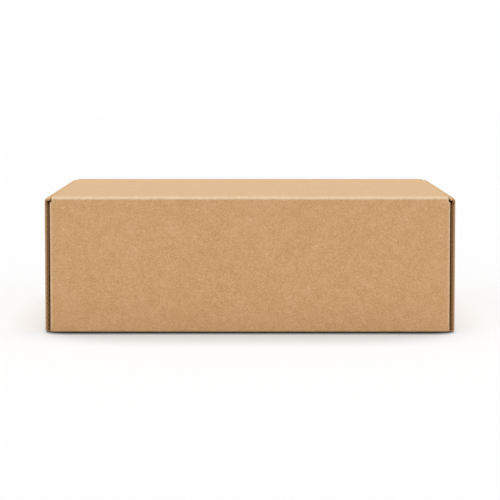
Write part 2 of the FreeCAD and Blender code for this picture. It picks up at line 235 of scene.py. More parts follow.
def chain(*pieces):
    """Join stretches end to end, with each shared station kept once."""
    outer, inner, crease = pieces[0]
    for more_outer, more_inner, more_crease in pieces[1:]:
        outer = np.concatenate([outer, more_outer[1:]])
        inner = np.concatenate([inner, more_inner[1:]])
        crease = np.concatenate([crease, more_crease[1:]])
    return outer, inner, crease


def path_length(points):
    """Distance walked along a line of points, at each of them."""
    steps = np.linalg.norm(np.diff(points, axis=0), axis=1)
    return np.concatenate([[0.0], np.cumsum(steps)])


def fold_wear_and_highlight(section):
    """Wear and painted highlight: each crease's own amount, fading out along the section.

    The amount is multiplied by the square of 1 - distance / WEAR_AND_HIGHLIGHT_SPREAD.
    """
    outer, _, crease = section
    along = path_length(outer)
    gap = np.abs(along[:, None] - along[None, :])
    return (np.clip(1 - gap / WEAR_AND_HIGHLIGHT_SPREAD, 0, 1) ** 2 * crease[None, :]).max(axis=1)


def resample(section, spacing, first, last):
    """Walk a section again in even steps, between two distances along its outer face."""
    outer, inner, crease = section
    along = path_length(outer)
    keep = np.concatenate([[True], np.diff(along) > SAME_STATION])
    wanted = np.arange(first, last + spacing / 2, spacing)
    picked = [np.stack([np.interp(wanted, along[keep], face[keep][:, k]) for k in (0, 1)], axis=1)
              for face in (outer, inner)]
    return picked[0], picked[1], np.interp(wanted, along[keep], crease[keep])


class Panel:
    """A section of board carried straight along one axis.

    Station i of the section runs from low[i] to high[i] along that axis. A point lies at
    outer + (inner - outer) * depth / BOARD. Near a raw end the outer face is crushed inwards
    over RAW_EDGE_REACH mm, and near a folded side it follows an arc of the side's radius.
    raw says which of the panel's two sides are cut edges of the sheet, and raw_path which of
    the section's two ends are. droop gives how far a point sinks, from its height and its
    position across the panel. mirror is -1 for a panel on the left of the box.
    """

    def __init__(self, plane, section, low, high, raw=(0, 0), raw_path=(0, 0), side_radius=0.0,
                 side_wear_and_highlight=0.0, droop=None, seed=1, mirror=1):
        self.plane = plane
        self.outer, self.inner, self.crease = section
        count = len(self.outer)
        self.along = path_length(self.outer)
        self.low = np.broadcast_to(np.asarray(low, float), (count,))
        self.high = np.broadcast_to(np.asarray(high, float), (count,))
        self.raw = raw
        self.raw_path = raw_path
        self.side_radius = np.broadcast_to(np.asarray(side_radius, float), (count,))
        self.side_wear_and_highlight = side_wear_and_highlight
        self.droop = droop
        self.seed = seed
        self.mirror = mirror
        self.wear = fold_wear_and_highlight(section)

    def side_gaps(self, across):
        """Distances of each point from the panel's two sides."""
        return across - self.low[:, None], self.high[:, None] - across

    def spread(self, share):
        """Positions across the panel at shares of its width, where 0 is low and 1 is high."""
        return self.low[:, None] + (self.high - self.low)[:, None] * share[None, :]

    def rawness(self, across):
        """1 at a raw edge of the board, fading to 0 over RAW_EDGE_REACH mm."""
        along = self.along[:, None] + 0 * across
        gaps = (*self.side_gaps(across), along, self.along[-1] - along)
        value = np.zeros(across.shape)
        for gap, amount in zip(gaps, (*self.raw, *self.raw_path)):
            value = np.maximum(value, amount * np.clip(1 - gap / RAW_EDGE_REACH, 0, 1))
        return value

    def worn_and_highlit(self, across):
        """Wear and painted highlight: along the section's creases and along folded sides."""
        value = self.wear[:, None] + 0 * across
        folded = (self.side_radius > 0)[:, None]
        for gap in self.side_gaps(across):
            beside = self.side_wear_and_highlight * np.clip(1 - gap / SIDE_WEAR_AND_HIGHLIGHT_SPREAD, 0, 1)
            value = np.maximum(value, np.where(folded, beside, 0))
        return value

    def crush(self, across):
        """Depth in mm that the outer face gives up at each point."""
        value = self.rawness(across) ** 2 * RAW_EDGE_CRUSH
        radius = self.side_radius[:, None]
        for gap in self.side_gaps(across):
            past = np.clip(radius - gap, 0, radius)
            value = np.maximum(value, radius - np.sqrt(radius ** 2 - past ** 2))
        return value

    def freedom(self, across):
        """0 beside the panel's folds and ends, 1 in the open middle, where board can bow.

        It is the product of two distances, as shares of their reach, to the power BOW_EASE.
        """
        low_gap, high_gap = self.side_gaps(across)
        side = np.clip(np.minimum(low_gap, high_gap) / BOW_SIDE_REACH, 0, 1)
        folds = np.concatenate([[0.0, self.along[-1]], self.along[self.crease > 0]])
        gap = np.abs(self.along[:, None] - folds[None, :]).min(axis=1)
        return (np.clip(gap / BOW_FOLD_REACH, 0, 1) ** BOW_EASE)[:, None] * side ** BOW_EASE

    def points(self, across, depth):
        """Grid of points at depth mm below the outer face; across is a grid of positions.

        The bow and the dents only ever move a point inwards, so the outer face stays inside the
        CAD shape.
        """
        outer = self.outer[:, None, :]
        inner = self.inner[:, None, :]
        flat = outer + (inner - outer) * (depth / BOARD)[..., None]
        if self.droop is not None:
            flat[..., 1] -= self.droop(flat[..., 1], across)
        inward = inner - outer
        inward = inward / np.linalg.norm(inward, axis=-1, keepdims=True)
        base = self.lift(np.broadcast_to(outer, flat.shape), across)
        bow = BOW * (0.5 + 0.5 * smooth_noise(base, *BOW_LENGTHS, self.seed))
        dents = DENT * (0.5 + 0.5 * smooth_noise(base, *DENT_LENGTHS, self.seed + DENT_SEED_STEP))
        moved = np.clip(bow, 0, None) * self.freedom(across)
        moved = moved + np.clip(dents, 0, None) * self.worn_and_highlit(across)
        return self.lift(flat + inward * moved[..., None], across)

    def lift(self, flat, across):
        """Put section points and positions across it into X, Y and Z.

        A section's points are (Y, Z) in plane yz, (X, Z) in plane xz and (Y, X) in plane xy.
        """
        first = flat[..., 0]
        second = flat[..., 1]
        if self.plane == "yz":
            return np.stack([across, first, second], axis=-1)
        if self.plane == "xz":
            return np.stack([first * self.mirror, across, second], axis=-1)
        return np.stack([second * self.mirror, first, across], axis=-1)


# Skins of paper. Each has its points and quads, and for each point its flute coordinates, its
# wear and painted highlight, and how close it is to a cut edge. Its paper is an index into
# PAPERS.

Skin = namedtuple("Skin", "points quads flute wear cut paper")
OUTER_LINER, INNER_LINER, WAVED_MEDIUM = range(3)


def spread_across(panel, step, marks=()):
    """Positions across a panel: close together at its ends, then in even steps.

    marks are positions that a slot needs a line of points at.
    """
    span = (panel.high - panel.low).max()
    ends = np.array(EDGE_STATIONS)
    middle = np.linspace(ends[-1], span - ends[-1], max(2, int((span - 2 * ends[-1]) / step)))
    place = np.concatenate([ends[:-1], middle, span - ends[-2::-1]])
    for mark in marks:
        wanted = mark - panel.low.min()
        place[np.abs(place - wanted).argmin()] = wanted
    return panel.spread(place / span)


def outward(points, quads):
    """Turn all faces round if the solid they close has a negative volume."""
    corner = points[quads]
    volume = 0.0
    for k in (1, 2):
        cross = np.cross(corner[:, k], corner[:, k + 1])
        volume += (corner[:, 0] * cross).sum()
    return quads if volume > 0 else quads[:, ::-1]


def shell(outer, inner, keep=None):
    """Closed skin between two grids of points: both faces, and a rim at every border.

    keep says which cells of the grid exist, so a slot gets its own rim.
    """
    rows, columns = outer.shape[:2]
    if keep is None:
        keep = np.ones((rows - 1, columns - 1), bool)
    index = np.arange(rows * columns).reshape(rows, columns)
    below = rows * columns
    a, b, c, d = index[:-1, :-1], index[1:, :-1], index[1:, 1:], index[:-1, 1:]
    quads = [np.stack([a, b, c, d], axis=-1)[keep]]
    quads.append(np.stack([d, c, b, a], axis=-1)[keep] + below)
    ring = np.pad(keep, 1)
    borders = ((ring[:-1, 1:-1], ring[1:, 1:-1], index[:, :-1], index[:, 1:]),
               (ring[1:-1, :-1], ring[1:-1, 1:], index[1:, :], index[:-1, :]))
    for before, after, start, stop in borders:
        opening = after & ~before
        closing = before & ~after
        quads.append(np.stack([start, stop, stop + below, start + below], axis=-1)[opening])
        quads.append(np.stack([stop, start, start + below, stop + below], axis=-1)[closing])
    quads = np.concatenate(quads)
    points = np.concatenate([outer.reshape(-1, 3), inner.reshape(-1, 3)])
    return points, outward(points, quads)


def paper_skin(panel, across, top, bottom, paper, keep=None):
    """One sheet of paper in a panel, a closed skin between two depths below its outer face.

    The flutes of the end walls and the lid run along their section, and those of the other
    panels run across it. The first flute coordinate always counts across the flutes.
    """
    points, quads = shell(panel.points(across, top), panel.points(across, bottom), keep)
    along = panel.along[:, None] + 0 * across
    pair = (across, along) if panel.plane == "yz" else (along, across)
    flute = np.stack(pair, axis=-1).reshape(-1, 2)
    wear = panel.worn_and_highlit(across).reshape(-1)
    cut = panel.rawness(across).reshape(-1)
    return Skin(points, quads, np.tile(flute, (2, 1)), np.tile(wear, 2), np.tile(cut, 2), paper)


def liners(panel, step=4.0, marks=(), slots=None):
    """Outer and inner paper of a panel, each LINER mm thick.

    slots is a function that says which cells of the panel's grid are cut out.
    """
    across = spread_across(panel, step, marks)
    keep = None
    if slots is not None:
        middle = (across[:-1, :-1] + across[1:, 1:]) / 2
        keep = ~slots((panel.outer[:-1, None] + panel.outer[1:, None]) / 2, middle)
    crushed = panel.crush(across)
    full = np.full(across.shape, BOARD)
    return [paper_skin(panel, across, crushed, crushed + LINER, OUTER_LINER, keep),
            paper_skin(panel, across, full - LINER, full, INNER_LINER, keep)]


def medium_skin(strip, across, phase, seed):
    """Waved paper between the liners: its depth is a cosine of phase, a little uneven.

    Each wave swings through a random share of the room there, from SMALLEST_SWING to all of it.
    """
    rng = np.random.default_rng(seed)
    cell = np.floor(phase).astype(int)
    swing = rng.uniform(SMALLEST_SWING, 1.0, cell.max() - cell.min() + 1)[cell - cell.min()]
    high = 0.5 - 0.5 * swing * np.cos(2 * np.pi * phase)
    crushed = strip.crush(across)
    room = BOARD - crushed - 2 * LINER - MEDIUM
    top = crushed + LINER + room * high
    return paper_skin(strip, across, top, top + MEDIUM, WAVED_MEDIUM)


def medium_beside(panel, at_low, first, last, seed):
    """Medium behind one raw side of a panel, between two distances along its section.

    Its flutes run across the panel, so the wave goes along the section and is carried
    straight back from the raw side by HOLLOW_DEPTH mm.
    """
    section = (panel.outer, panel.inner, panel.crease)
    fine = resample(section, FLUTE_PITCH / STEPS_PER_FLUTE, first, last)
    where = first + FLUTE_PITCH / STEPS_PER_FLUTE * np.arange(len(fine[0]))
    edge = np.interp(where, panel.along, panel.low if at_low else panel.high)
    low, high = (edge, edge + HOLLOW_DEPTH) if at_low else (edge - HOLLOW_DEPTH, edge)
    raw = (1, 0) if at_low else (0, 1)
    strip = Panel(panel.plane, fine, low, high, raw=raw, seed=panel.seed, mirror=panel.mirror,
                  droop=panel.droop)
    strip.wear = np.interp(where, panel.along, panel.wear)
    share = np.array(HOLLOW_STATIONS)
    if not at_low:
        share = 1 - share[::-1]
    across = strip.spread(share)
    return medium_skin(strip, across, (where / FLUTE_PITCH)[:, None] + 0 * across, seed)


def medium_behind(panel, at_start, seed):
    """Medium behind the raw end of a panel whose flutes run along its section."""
    if at_start:
        pick = panel.along < HOLLOW_DEPTH
        raw_path = (1, 0)
    else:
        pick = panel.along > panel.along[-1] - HOLLOW_DEPTH
        raw_path = (0, 1)
    section = (panel.outer[pick], panel.inner[pick], panel.crease[pick])
    strip = Panel(panel.plane, section, panel.low[pick], panel.high[pick], raw_path=raw_path,
                  side_radius=panel.side_radius[pick], seed=panel.seed, mirror=panel.mirror)
    strip.wear = panel.wear[pick]
    span = (strip.high - strip.low).max()
    share = np.linspace(HOLLOW_SIDE_SHARE, 1 - HOLLOW_SIDE_SHARE,
                        int(span / FLUTE_PITCH * STEPS_PER_FLUTE))
    across = strip.spread(share)
    return medium_skin(strip, across, share[None, :] * span / FLUTE_PITCH + 0 * across, seed)


def join_skins(skins):
    """Several skins as one, with one paper index for each quad.

    The points that a slot leaves over are dropped.
    """
    parts = []
    offset = 0
    for skin in skins:
        used, where = np.unique(skin.quads, return_inverse=True)
        quads = where.reshape(-1, 4) + offset
        parts.append(Skin(skin.points[used], quads, skin.flute[used], skin.wear[used],
                          skin.cut[used], np.full(len(quads), skin.paper)))
        offset += len(used)
    return Skin(*(np.concatenate(column) for column in zip(*parts)))


def make_piece(name, skins):
    """One mesh from skins: their papers, flute coordinates, wear and painted highlight, cut
    edges.
    """
    whole = join_skins(skins)
    points = whole.points * MM
    quads = whole.quads
    mesh = bpy.data.meshes.new(name)
    mesh.vertices.add(len(points))
    mesh.vertices.foreach_set("co", points.astype(np.float32).ravel())
    mesh.loops.add(quads.size)
    mesh.loops.foreach_set("vertex_index", quads.ravel().astype(np.int32))
    mesh.polygons.add(len(quads))
    mesh.polygons.foreach_set("loop_start", np.arange(0, quads.size, 4, dtype=np.int32))
    mesh.polygons.foreach_set("material_index", whole.paper.astype(np.int32))
    mesh.update(calc_edges=True)
    mesh.validate()
    mesh.polygons.foreach_set("use_smooth", np.ones(len(mesh.polygons), bool))
    mesh.set_sharp_from_angle(angle=math.radians(SHARP_DEGREES))
    vertex_of_loop = np.zeros(len(mesh.loops), np.int32)
    mesh.loops.foreach_get("vertex_index", vertex_of_loop)
    flute_map = mesh.uv_layers.new(name="flutes")
    flute = whole.flute[vertex_of_loop] * MM
    flute_map.data.foreach_set("uv", flute.astype(np.float32).ravel())
    for label, values in (("wear", whole.wear), ("cut", whole.cut)):
        layer = mesh.attributes.new(label, "FLOAT", "POINT")
        layer.data.foreach_set("value", values.astype(np.float32))
    for material in PAPERS:
        mesh.materials.append(material)
    piece = bpy.data.objects.new(name, mesh)
    bpy.context.scene.collection.objects.link(piece)
    return piece


# Materials

def linear_colour(code):
    """A colour written as sRGB hex, turned linear."""
    values = [int(code[i:i + 2], 16) / 255 for i in (1, 3, 5)]
    linear = [v / 12.92 if v <= 0.04045 else ((v + 0.055) / 1.055) ** 2.4 for v in values]
    return (*linear, 1.0)


def empty_tree(owner):
    """The node tree of a material or a world, with nothing in it."""
    owner.use_nodes = True
    owner.node_tree.nodes.clear()
    return owner.node_tree


def add_node(tree, kind, inputs=None, **settings):
    """Add a node with its settings; each input gets a value or another node's output."""
    node = tree.nodes.new(kind)
    for key, value in settings.items():
        setattr(node, key, value)
    for key, value in (inputs or {}).items():
        if hasattr(value, "is_output"):
            tree.links.new(value, node.inputs[key])
        else:
            node.inputs[key].default_value = value
    return node


def board_paper(name, light, dark, worn_and_highlit, torn, roughness, washboard, gloss, sheen):
    """Uncoated kraft paper of corrugated board.

    Long brown pulp fibres, pressed and left bare: matt, faintly cloudy over several
    millimetres, with fine fibres, a few darker specks and a few pale straws. The flutes print
    through as a faint washboard. Paper stretched over a crease turns paler and drier, and the
    same paler colour is also painted along the folds as a highlight. The cut edge of the board,
    crushed by the die, is darker. Seen along its surface the loose fibres catch the light as a
    pale yellow sheen.
    """
    material = bpy.data.materials.new(name)
    tree = empty_tree(material)
    place = add_node(tree, "ShaderNodeTexCoord").outputs["Object"]
    flute = add_node(tree, "ShaderNodeUVMap", uv_map="flutes").outputs["UV"]
    wear = add_node(tree, "ShaderNodeAttribute", attribute_name="wear").outputs["Fac"]
    cut = add_node(tree, "ShaderNodeAttribute", attribute_name="cut").outputs["Fac"]
    drawn_out = add_node(tree, "ShaderNodeMapping", {"Vector": flute, "Scale": (0.35, 1.0, 1.0)})

    # Mottling: clouds 9 mm across, grain of 0.8 mm, fibres 1.1 mm thick and nearly three times
    # as long, and one slow change over 60 mm. Real pulp fibres are a few hundredths of a
    # millimetre thick, too fine to show, so the grain and the fibres are drawn coarser.
    clouds = add_node(tree, "ShaderNodeTexNoise",
                      {"Vector": place, "Scale": 1 / (9 * MM), "Detail": 4.0, "Roughness": 0.62})
    grain = add_node(tree, "ShaderNodeTexNoise",
                     {"Vector": place, "Scale": 1 / (0.8 * MM), "Detail": 1.0})
    fibres = add_node(tree, "ShaderNodeTexNoise",
                      {"Vector": drawn_out.outputs["Vector"], "Scale": 1 / (1.1 * MM),
                       "Detail": 5.0, "Roughness": 0.7, "Distortion": 0.6})
    broad = add_node(tree, "ShaderNodeTexNoise",
                     {"Vector": place, "Scale": 1 / (60 * MM), "Detail": 2.0})
    mottling = 0.0
    for texture, weight in ((clouds, 0.32), (grain, 0.84), (fibres, 0.24), (broad, 0.08)):
        layer = add_node(tree, "ShaderNodeMath",
                         {0: texture.outputs["Fac"], 1: weight, 2: mottling},
                         operation="MULTIPLY_ADD")
        mottling = layer.outputs["Value"]
    tone = add_node(tree, "ShaderNodeMapRange",
                    {"Value": mottling, "From Min": 0.595, "From Max": 0.885})
    paper = add_node(tree, "ShaderNodeMix",
                     {"Factor": tone.outputs["Result"], "A": linear_colour(dark),
                      "B": linear_colour(light)}, data_type="RGBA")

    # Dark specks of bark about every 3.2 mm and pale straws about every 5.5 mm. Each is solid
    # out to its core and gone at its rim, both as shares of that spacing.
    for spacing, core, rim, share, colour in ((3.2, 0.03, 0.11, 0.16, "#6E4A2C"),
                                              (5.5, 0.04, 0.15, 0.30, "#E6C8A0")):
        spots = add_node(tree, "ShaderNodeTexVoronoi",
                         {"Vector": drawn_out.outputs["Vector"], "Scale": 1 / (spacing * MM)})
        spot = add_node(tree, "ShaderNodeMapRange",
                        {"Value": spots.outputs["Distance"], "From Min": core,
                         "From Max": rim, "To Min": share, "To Max": 0.0})
        paper = add_node(tree, "ShaderNodeMix",
                         {"Factor": spot.outputs["Result"], "A": paper.outputs["Result"],
                          "B": linear_colour(colour)}, data_type="RGBA")

    # Worn folds and their painted highlight, broken up by the fibres, then the raw cut edge
    break_up = add_node(tree, "ShaderNodeMath", {0: wear, 1: fibres.outputs["Fac"]},
                        operation="MULTIPLY")
    wear_and_highlight_share = add_node(tree, "ShaderNodeMapRange",
                          {"Value": break_up.outputs["Value"], "From Min": 0.1,
                           "From Max": 0.5, "To Max": 0.55})
    stretched_and_highlit = add_node(tree, "ShaderNodeMix",
                         {"Factor": wear_and_highlight_share.outputs["Result"], "A": paper.outputs["Result"],
                          "B": linear_colour(worn_and_highlit)}, data_type="RGBA")
    bare = add_node(tree, "ShaderNodeMapRange",
                    {"Value": cut, "From Min": 0.05, "From Max": 0.55, "To Max": 0.9})
    final = add_node(tree, "ShaderNodeMix",
                     {"Factor": bare.outputs["Result"], "A": stretched_and_highlit.outputs["Result"],
                      "B": linear_colour(torn)}, data_type="RGBA")

    # Relief: fibres up to 0.03 mm high and the flutes' washboard. A wave texture turns 20
    # radians in one unit, so a scale of pi / (10 * pitch) gives one wave to each flute.
    fuzz = add_node(tree, "ShaderNodeMath", {0: fibres.outputs["Fac"], 1: 0.5},
                    operation="MULTIPLY")
    rows = add_node(tree, "ShaderNodeTexWave",
                    {"Vector": flute, "Scale": math.pi / (10 * FLUTE_PITCH * MM),
                     "Distortion": 0.0}, bands_direction="X")
    height = add_node(tree, "ShaderNodeMath",
                      {0: rows.outputs["Fac"], 1: washboard, 2: fuzz.outputs["Value"]},
                      operation="MULTIPLY_ADD")
    bump = add_node(tree, "ShaderNodeBump",
                    {"Height": height.outputs["Value"], "Strength": 0.35,
                     "Distance": 0.06 * MM})
    shader = add_node(tree, "ShaderNodeBsdfPrincipled",
                      {"Base Color": final.outputs["Result"], "Roughness": roughness,
                       "IOR": 1.45, "Specular IOR Level": gloss, "Sheen Weight": sheen,
                       "Sheen Roughness": 0.5, "Sheen Tint": linear_colour("#FFFFD2"),
                       "Normal": bump.outputs["Normal"]})
    add_node(tree, "ShaderNodeOutputMaterial", {"Surface": shader.outputs["BSDF"]})
    return material


# Outer liner: machine-finished kraft, the warmest and smoothest of the three, with the sheen.
# Inner liner: plainer kraft, browner and rougher, with a stronger washboard and no sheen. Its
# darker colour also serves as painted shade in the narrow dark gaps beside the end walls.
# Waved medium: thin recycled paper, the darkest and dullest, and seen only between the liners.
# Each worn colour is the paler paper of worn creases and also the highlight painted on folds
PAPERS = [
    board_paper("kraft_liner", light="#D3A87A", dark="#C0915D", worn_and_highlit="#F0DABC", torn="#A67A50",
                roughness=0.62, washboard=0.2, gloss=0.46, sheen=0.16),
    # Darker than the outer liner: partly plainer paper, partly painted shade for the gaps beside
    # the end walls
    board_paper("kraft_liner_inside", light="#C39A6D", dark="#AA7E50", worn_and_highlit="#D8B58C",
                torn="#86603C", roughness=0.7, washboard=0.4, gloss=0.1, sheen=0.0),
    board_paper("kraft_medium", light="#B98B5E", dark="#9C7045", worn_and_highlit="#C9A077",
                torn="#B88A5C", roughness=0.8, washboard=0.0, gloss=0.1, sheen=0.0),
]


# The tray: tuck wall, base and hinge wall

def base_runs():
    """The base, in stretches that end where its slots do."""
    reach = TAB_LENGTH / 2 + CLEARANCE
    near = TAB_SPACING / 2 - reach
    far = TAB_SPACING / 2 + reach
    stops = (HALF_DEPTH - FOLD_RADIUS, far, near, -near, -far, -HALF_DEPTH + FOLD_RADIUS)
    inner_stops = (END_INSIDE, far, near, -near, -far, -END_INSIDE)
    return [run((stops[i], 0), (stops[i + 1], 0), (inner_stops[i], BOARD),
                (inner_stops[i + 1], BOARD)) for i in range(len(stops) - 1)]


def end_walls():
    """Tuck wall down, across the base and up the hinge wall: one strip with two folds."""
    section = chain(
        run((HALF_DEPTH, WALL_TOP), (HALF_DEPTH, FOLD_RADIUS), (END_INSIDE, WALL_TOP),
            (END_INSIDE, BOARD)),
        # The two folds at the base keep the default amount of pale wear and painted highlight
        bend((HALF_DEPTH - FOLD_RADIUS, FOLD_RADIUS), FOLD_RADIUS, 0, -90,
             (END_INSIDE, BOARD)),
        *base_runs(),
        bend((-HALF_DEPTH + FOLD_RADIUS, FOLD_RADIUS), FOLD_RADIUS, -90, -180,
             (-END_INSIDE, BOARD)),
        run((-HALF_DEPTH, FOLD_RADIUS), (-HALF_DEPTH, STRIP_START), (-END_INSIDE, BOARD),
            (-END_INSIDE, STRIP_START)),
    )
    rounded = np.where(section[0][:, 1] > FOLD_RADIUS, EAR_FOLD_RADIUS, 0.0)
    # The rounded side folds of the end walls get pale wear with a painted highlight along them
    panel = Panel("yz", section, -FACE_HALF, FACE_HALF, raw_path=(1, 0), side_radius=rounded,
                  side_wear_and_highlight=0.85, seed=3)
    slot_low = INNER_IN - CLEARANCE
    slot_high = INNER_OUT + CLEARANCE
    reach = TAB_LENGTH / 2 + CLEARANCE

    def slots(place, across):
        """Slots through the base that the lock tabs of the inner side walls stand in."""
        on_base = place[..., 1] < SAME_HEIGHT
        along = np.abs(np.abs(place[..., 0]) - TAB_SPACING / 2) < reach
        return on_base & along & (np.abs(across) > slot_low) & (np.abs(across) < slot_high)

    marks = (-slot_high, -slot_low, slot_low, slot_high)
    skins = liners(panel, step=4.0, marks=marks, slots=slots)
    skins.append(medium_behind(panel, True, seed=31))
    return make_piece("end_walls_and_base", skins)


def roll_droop(height, across):
    """How far the roll lies below the lid: all along it, and more towards its two ends.

    The amount goes from 0 at the roll's waist to all of it at the top. The two ends' own
    amounts grow as the square of the distance.
    """
    near_top = np.clip((height - TOP + ROLL_WAIST) / ROLL_WAIST, 0, 1)
    backwards = np.clip((across - ROLL_DROOP_START) / (HALF_DEPTH - ROLL_DROOP_START), 0, 1) ** 2
    at_front = np.clip(1 - (across + HALF_DEPTH) / ROLL_CORNER_REACH, 0, 1) ** 2
    return near_top * (ROLL_SINK + ROLL_DROOP * backwards + ROLL_CORNER * at_front)


def side_wall(side, name):
    """Outer layer up, over the crushed roll and down inside to just above the base."""
    seam = END_HALF + SEAM_GAP
    inside = SIDE_INSIDE - SIDE_SWELL
    crease_point = (ROLL_CREASE, ROLL_UNDERSIDE)
    outer_layer = chain(
        run((seam, 0), (HALF_LENGTH - FOLD_RADIUS, 0), (seam, BOARD), (inside, BOARD)),
        bend((HALF_LENGTH - FOLD_RADIUS, FOLD_RADIUS), FOLD_RADIUS, -90, 0, (inside, BOARD)),
        run((HALF_LENGTH, FOLD_RADIUS), (HALF_LENGTH, TOP - ROLL_WAIST),
            (inside, BOARD), (inside, TOP - ROLL_WAIST)),
        run((HALF_LENGTH, TOP - ROLL_WAIST), (HALF_LENGTH, TOP - ROLL_OUTER_RADIUS),
            (inside, TOP - ROLL_WAIST), crease_point),
        # The roll's two folds get only a trace of pale wear and painted highlight
        bend((HALF_LENGTH - ROLL_OUTER_RADIUS, TOP - ROLL_OUTER_RADIUS), ROLL_OUTER_RADIUS,
             0, 90, crease_point, wear=0.05),
        bend((ROLL_INSIDE + ROLL_INNER_RADIUS, TOP - ROLL_INNER_RADIUS), ROLL_INNER_RADIUS,
             90, 180, (ROLL_CREASE - CLEARANCE / 2, ROLL_UNDERSIDE), wear=0.05),
    )
    lean = run((ROLL_INSIDE, ROLL_UNDERSIDE), (INNER_IN, KNEE),
               (ROLL_CREASE - CLEARANCE, ROLL_UNDERSIDE), (INNER_OUT, KNEE))
    upright = run((INNER_IN, KNEE), (INNER_IN, BOARD + CLEARANCE), (INNER_OUT, KNEE),
                  (INNER_OUT, BOARD + CLEARANCE))
    reach = np.concatenate([
        np.full(len(outer_layer[0]), HALF_DEPTH),
        np.full(len(lean[0]), END_INSIDE - LEAN_SETBACK),
        np.full(len(upright[0]), END_INSIDE - CLEARANCE),
    ])
    whole = tuple(np.concatenate([outer_layer[k], lean[k], upright[k]]) for k in range(3))
    panel = Panel("xz", whole, -reach, reach, raw=(1, 1), droop=roll_droop, seed=7 + side,
                  mirror=side)
    skins = liners(panel, step=5.0)
    fold_stop = np.flatnonzero(whole[0][:, 1] >= FOLD_RADIUS)[0]
    roll_top = np.flatnonzero(whole[0][:, 1] >= TOP - SAME_HEIGHT)[0]
    for at_low in (True, False):
        skins.append(medium_beside(panel, at_low, panel.along[fold_stop], panel.along[roll_top],
                                   seed=11 + side))
    return make_piece(name, skins)


def ear(side, end, name):
    """Ear folded back from an end wall, behind the outer layer of a side wall."""
    start = HALF_DEPTH - BOARD / 2
    notch = END_INSIDE - LEAN_SETBACK + CLEARANCE * 2
    free_edge = HALF_DEPTH - EAR_LENGTH
    shoulder = KNEE - CLEARANCE
    foot = BOARD + CLEARANCE * 2
    section = run((start * end, FACE_HALF), (free_edge * end, FACE_HALF),
                  (start * end, EAR_INSIDE), (free_edge * end, EAR_INSIDE), step=1.5)
    away = start - np.abs(section[0][:, 0])
    last = start - free_edge
    corner_drop = EAR_TAPER + EAR_CORNER_DROP
    high = np.interp(away, [0, start - END_INSIDE + EAR_SHOULDER, start - notch,
                            last - EAR_CORNER, last],
                     [WALL_TOP, WALL_TOP, shoulder, shoulder - EAR_TAPER,
                      shoulder - corner_drop])
    low = np.interp(away, [0, start - notch, last - EAR_CORNER, last],
                    [foot, foot, foot + EAR_TAPER, foot + corner_drop])
    panel = Panel("xy", section, low, high, raw=(1, 1), raw_path=(0, 1), seed=17, mirror=side)
    skins = liners(panel, step=6.0)
    skins.append(medium_beside(panel, False, EAR_HOLLOW_START, panel.along[-1], seed=19))
    return make_piece(name, skins)


def lock_tab(side, end, name):
    """Tab on the foot of the inner side wall, down in its slot through the base."""
    section = run((INNER_IN, BOARD + CLEARANCE * 2), (INNER_IN, CLEARANCE),
                  (INNER_OUT, BOARD + CLEARANCE * 2), (INNER_OUT, CLEARANCE), step=1.0)
    middle = TAB_SPACING / 2 * end
    panel = Panel("xz", section, middle - TAB_LENGTH / 2, middle + TAB_LENGTH / 2,
                  seed=23, mirror=side)
    return make_piece(name, liners(panel, step=6.0))


# The lid, its fold and its flaps

def lid_half_at(y):
    """Half width of the lid: narrower beside its hinge fold, and flared towards the back."""
    behind = y + HALF_DEPTH
    neck = LID_NECK * np.clip(1 - behind / LID_NECK_REACH, 0, 1) ** 2
    return LID_HALF - neck + LID_FLARE * behind / (2 * HALF_DEPTH)


def lid_fold():
    """Strip of board round the fold that the lid turns on, between hinge wall and lid."""
    corner = (-END_INSIDE, LID_UNDERSIDE)
    section = chain(
        run((-HALF_DEPTH, STRIP_START), (-HALF_DEPTH, TOP - FOLD_RADIUS),
            (-END_INSIDE, STRIP_START), corner, step=0.8),
        # The fold the lid turns on gets the fullest pale wear and painted highlight
        bend((-HALF_DEPTH + FOLD_RADIUS, TOP - FOLD_RADIUS), FOLD_RADIUS, 180, 90, corner,
             count=13, wear=1.0),
        run((-HALF_DEPTH + FOLD_RADIUS, TOP), (STRIP_END, TOP), corner,
            (STRIP_END, LID_UNDERSIDE), step=0.8),
    )
    below = section[0][:, 1] < WALL_TOP - CLEARANCE
    reach = np.where(below, FACE_HALF, lid_half_at(section[0][:, 0]))
    rounded = np.where(below, EAR_FOLD_RADIUS, LID_EDGE_RADIUS)
    # Its folded sides get pale wear and a painted highlight
    panel = Panel("yz", section, -reach, reach, side_radius=rounded, side_wear_and_highlight=0.85, seed=3)
    return make_piece("lid_fold", liners(panel, step=2.0))


